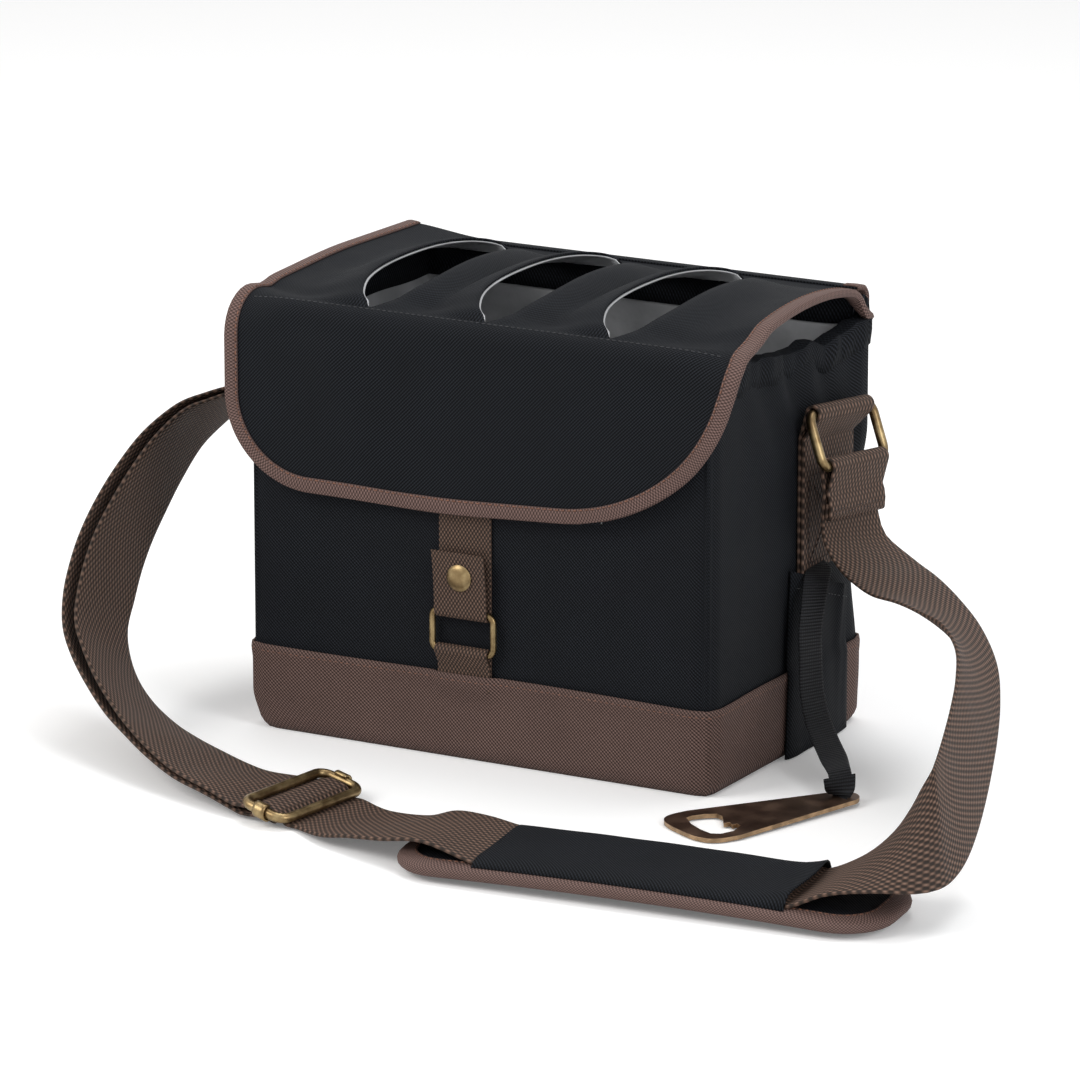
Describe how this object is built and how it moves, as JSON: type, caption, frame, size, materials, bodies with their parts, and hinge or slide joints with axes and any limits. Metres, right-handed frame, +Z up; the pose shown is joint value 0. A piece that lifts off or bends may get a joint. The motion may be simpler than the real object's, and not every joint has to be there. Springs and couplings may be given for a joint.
{
  "type": "insulated bottle cooler bag",
  "caption": "Soft insulated bottle carrier with a slotted lid flap, ring and snap closure, webbing shoulder strap with slider and pad, side pocket and a tethered bottle opener",
  "frame": {"origin": "the middle of the bag's underside, on the floor", "axes": "+Z up; +X to the bag's right as it is seen from the front, along its width; -Y to the front, where the flap closes"},
  "size_m": [0.49, 0.3169, 0.2051],
  "materials": {
    "black_cloth": "fine plain weave, slightly bluish black, matt with a faint sheen",
    "brown_cloth": "ribbed brown cloth and binding tape, matt",
    "brown_webbing": "coarse woven brown webbing with pinkish highlight threads",
    "silver_lining": "silver-grey welded cooler lining, satin",
    "white_foam": "closed-cell white foam, matt",
    "grey_board": "grey plastic board, matt",
    "old_brass": "antique brass plating, darkened in the recesses",
    "old_copper": "dark copper-brown plating with brighter worn edges",
    "black_ribbon": "black cross-ribbed ribbon"
  },
  "bodies": {
    "bag": {"bottom_panel": "brown_cloth", "base_foam": "white_foam", "base_board": "grey_board", "lining": "silver_lining", "front_panel": "black_cloth", "back_panel": "black_cloth", "gusset_left": "black_cloth", "gusset_right": "black_cloth", "foam_front": "white_foam", "foam_back": "white_foam", "foam_left": "white_foam", "foam_right": "white_foam", "band_front": "brown_cloth", "band_back": "brown_cloth", "band_left": "brown_cloth", "band_right": "brown_cloth", "hem_front": "black_cloth", "hem_back": "black_cloth", "hem_left": "black_cloth", "hem_right": "black_cloth", "divider_long": "silver_lining", "divider_cross_left": "silver_lining", "divider_cross_right": "silver_lining", "lid_hinge_strip": "black_cloth", "keeper_loop": "brown_webbing", "side_pocket": "black_cloth", "side_tab_left": "brown_webbing", "side_tab_right": "brown_webbing", "strap_long": "brown_webbing", "strap_upper": "brown_webbing", "strap_lower": "brown_webbing", "tether_ribbon": "black_ribbon"},
    "lid": {"lid_top": "black_cloth", "lid_top_lining": "silver_lining", "lid_binding_left": "brown_cloth", "lid_binding_right": "brown_cloth"},
    "lid_front": {"lid_front": "black_cloth", "lid_front_lining": "silver_lining", "lid_binding_front": "brown_cloth", "closure_strap": "brown_webbing", "snap_stud": "old_brass"},
    "snap_tab": {"snap_tab": "brown_webbing", "snap_cap": "old_brass", "snap_socket": "old_brass"},
    "front_ring": {"front_ring": "old_brass"},
    "ring_right": {"ring_right": "old_brass", "strap_end_right": "brown_webbing"},
    "ring_left": {"ring_left": "old_brass", "strap_turn_left": "brown_webbing"},
    "slider": {"slider_frame": "old_brass", "slider_bar": "old_brass", "strap_end_slider": "brown_webbing"},
    "pad": {"pad_core": "black_cloth", "pad_binding": "brown_cloth", "pad_sleeve": "black_cloth"},
    "opener": {"opener": "old_copper", "tether_end": "black_ribbon"}
  },
  "joints": [
    {"name": "lid_hinge", "type": "hinge", "parent": "bag", "child": "lid", "pos_m": [0, 0.07615, 0.2015], "axis": [-1, 0, 0], "range_deg": [0, 180], "deforming": ["closure_strap"]},
    {"name": "flap_fold", "type": "hinge", "parent": "lid", "child": "lid_front", "pos_m": [0, -0.079, 0.2015], "axis": [-1, 0, 0], "range_deg": [0, 120], "deforming": ["closure_strap"]},
    {"name": "snap_tab_hinge", "type": "hinge", "parent": "lid_front", "child": "snap_tab", "pos_m": [-0.0075, -0.0773, 0.07], "axis": [1, 0, 0], "range_deg": [0, 120], "deforming": ["closure_strap"]},
    {"name": "front_ring_hinge", "type": "hinge", "parent": "bag", "child": "front_ring", "pos_m": [-0.0075, -0.0773, 0.0515], "axis": [1, 0, 0], "range_deg": [0, 120], "deforming": ["closure_strap"]},
    {"name": "side_ring_right", "type": "hinge", "parent": "bag", "child": "ring_right", "pos_m": [0.1245, 0.034, 0.156], "axis": [-0.052, -0.9932, 0.104], "range_deg": [-8, 100], "deforming": ["strap_long"]},
    {"name": "side_ring_left", "type": "hinge", "parent": "bag", "child": "ring_left", "pos_m": [-0.1295, 0.034, 0.156], "axis": [-0.3324, 0.9133, -0.2351], "range_deg": [-8, 100], "deforming": ["strap_upper", "strap_lower"]},
    {"name": "slider_slide", "type": "slide", "parent": "bag", "child": "slider", "axis": [0.9925, -0.1219, 0], "range_m": [-0.008, 0.008], "deforming": ["strap_long", "strap_upper", "strap_lower"]},
    {"name": "pad_slide", "type": "slide", "parent": "bag", "child": "pad", "axis": [0.9969, 0.0785, 0], "range_m": [-0.015, 0.015], "deforming": ["strap_long"]},
    {"name": "opener_swivel", "type": "hinge", "parent": "bag", "child": "opener", "pos_m": [0.1705, -0.0515, 0.0016], "axis": [0, 0, 1], "range_deg": [-15, 25], "deforming": ["tether_ribbon"]}
  ]
}
